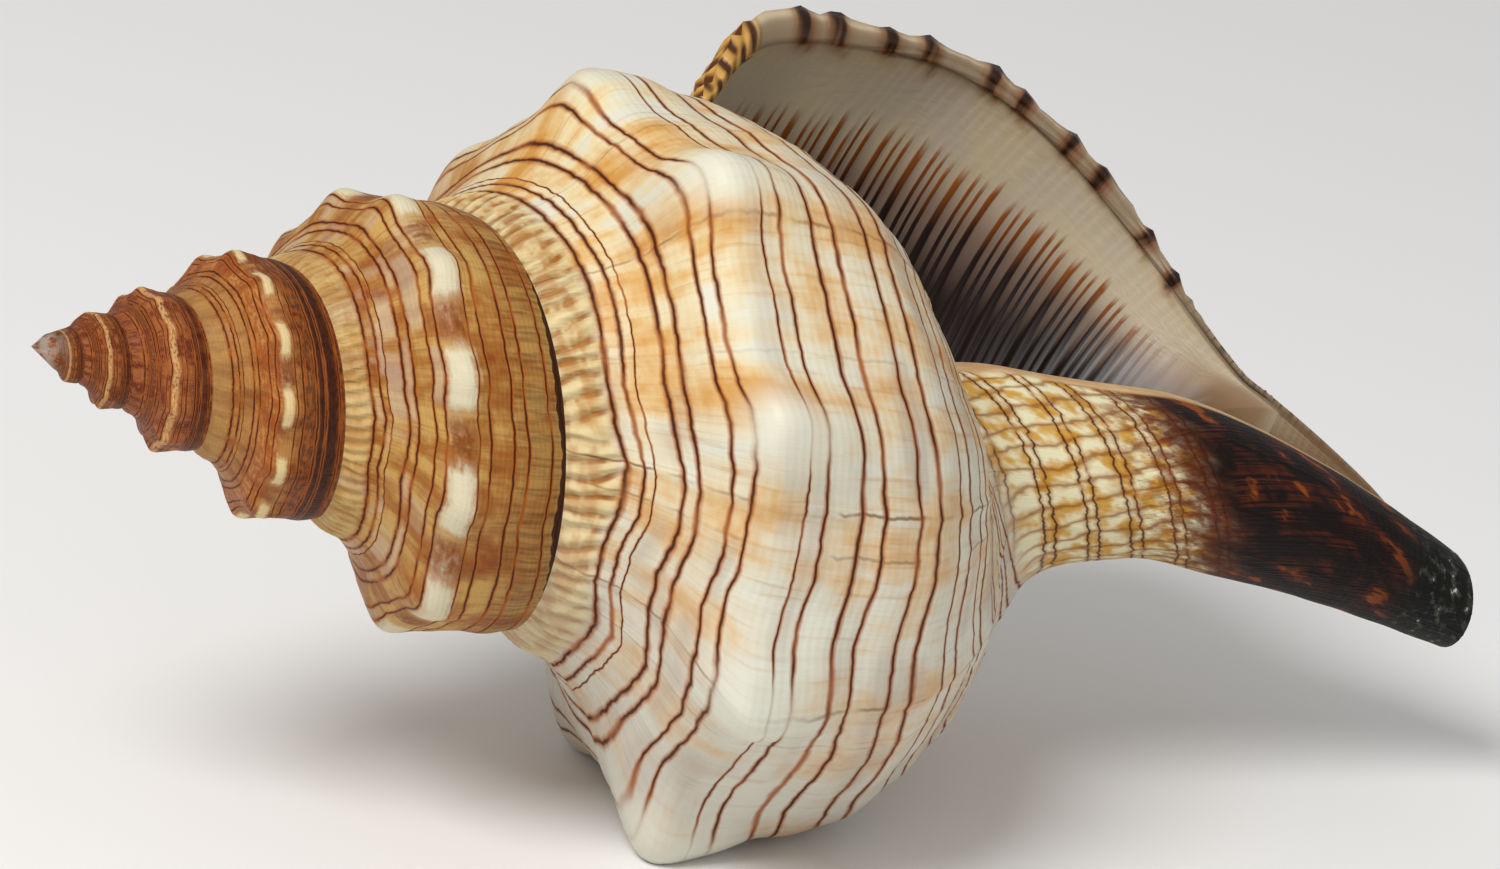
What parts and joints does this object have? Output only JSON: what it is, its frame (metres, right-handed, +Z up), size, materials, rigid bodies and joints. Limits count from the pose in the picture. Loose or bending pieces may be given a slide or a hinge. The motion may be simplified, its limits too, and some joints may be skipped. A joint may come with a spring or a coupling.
{
  "type": "trapezium horse conch shell",
  "caption": "Spindle-shaped sea snail shell lying on its last whorl, with a knobbed shoulder, a wide open aperture and a long bent canal with a slit.",
  "frame": {"origin": "centre of the bounding box at the height of the surface that the shell lies on", "axes": "+Z up from the surface, +X from the apex towards the canal, level"},
  "size_m": [0.148, 0.0792, 0.0694],
  "materials": {
    "shell": "natural shell, semi-gloss"
  },
  "bodies": {
    "root": {"shell": "shell"}
  },
  "joints": []
}
